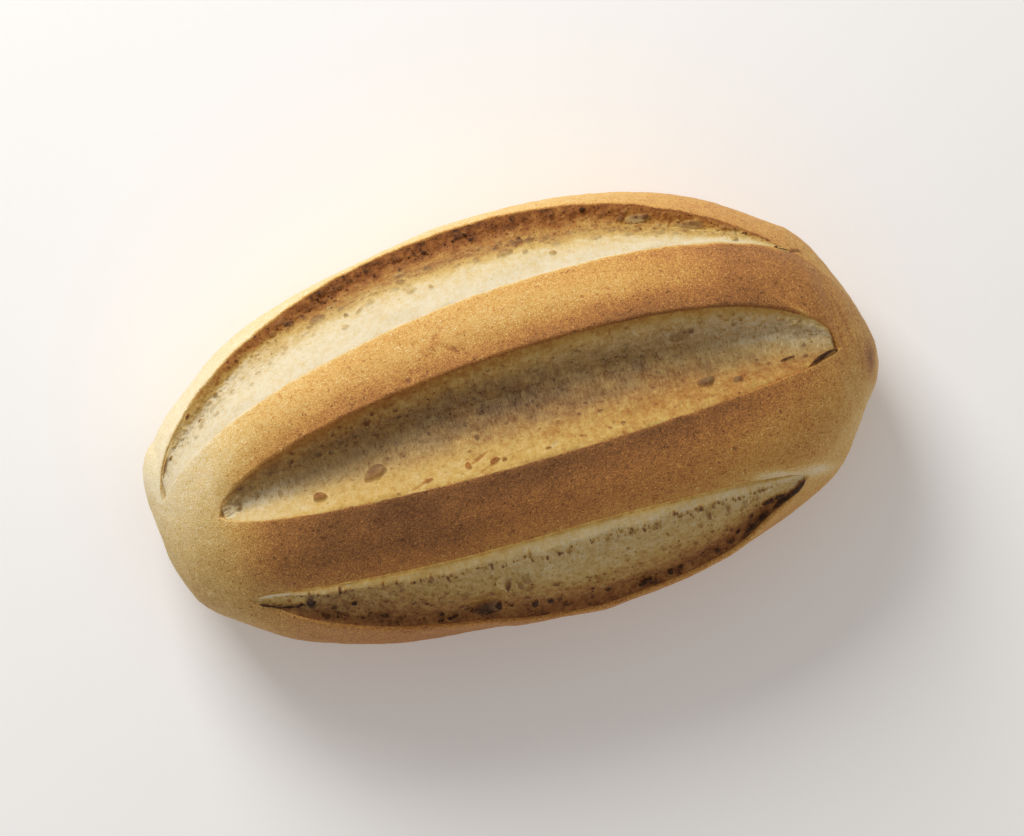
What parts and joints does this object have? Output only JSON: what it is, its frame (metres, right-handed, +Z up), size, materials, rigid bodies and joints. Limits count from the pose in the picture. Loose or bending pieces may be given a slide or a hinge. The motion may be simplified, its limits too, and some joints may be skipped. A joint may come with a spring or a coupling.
{
  "type": "sourdough loaf",
  "caption": "Oval sourdough loaf with a golden crust, burst open along lengthwise cuts, flat underneath so that it rests on a table.",
  "frame": {"origin": "middle of the flat base, on the surface that the loaf rests on", "axes": "+X along the loaf from its left tip to its right tip, +Y across it towards the side with the widest cut nearest the edge, +Z up"},
  "size_m": [0.2868, 0.159, 0.0967],
  "materials": {
    "crust": "dry browned bread crust, matte with a fine sandy grain, golden on top and pale at the tips",
    "crumb": "torn open bread crumb baked dry in the cuts, cream to light brown, with small pores"
  },
  "bodies": {
    "root": {"loaf": "crust"}
  },
  "joints": []
}
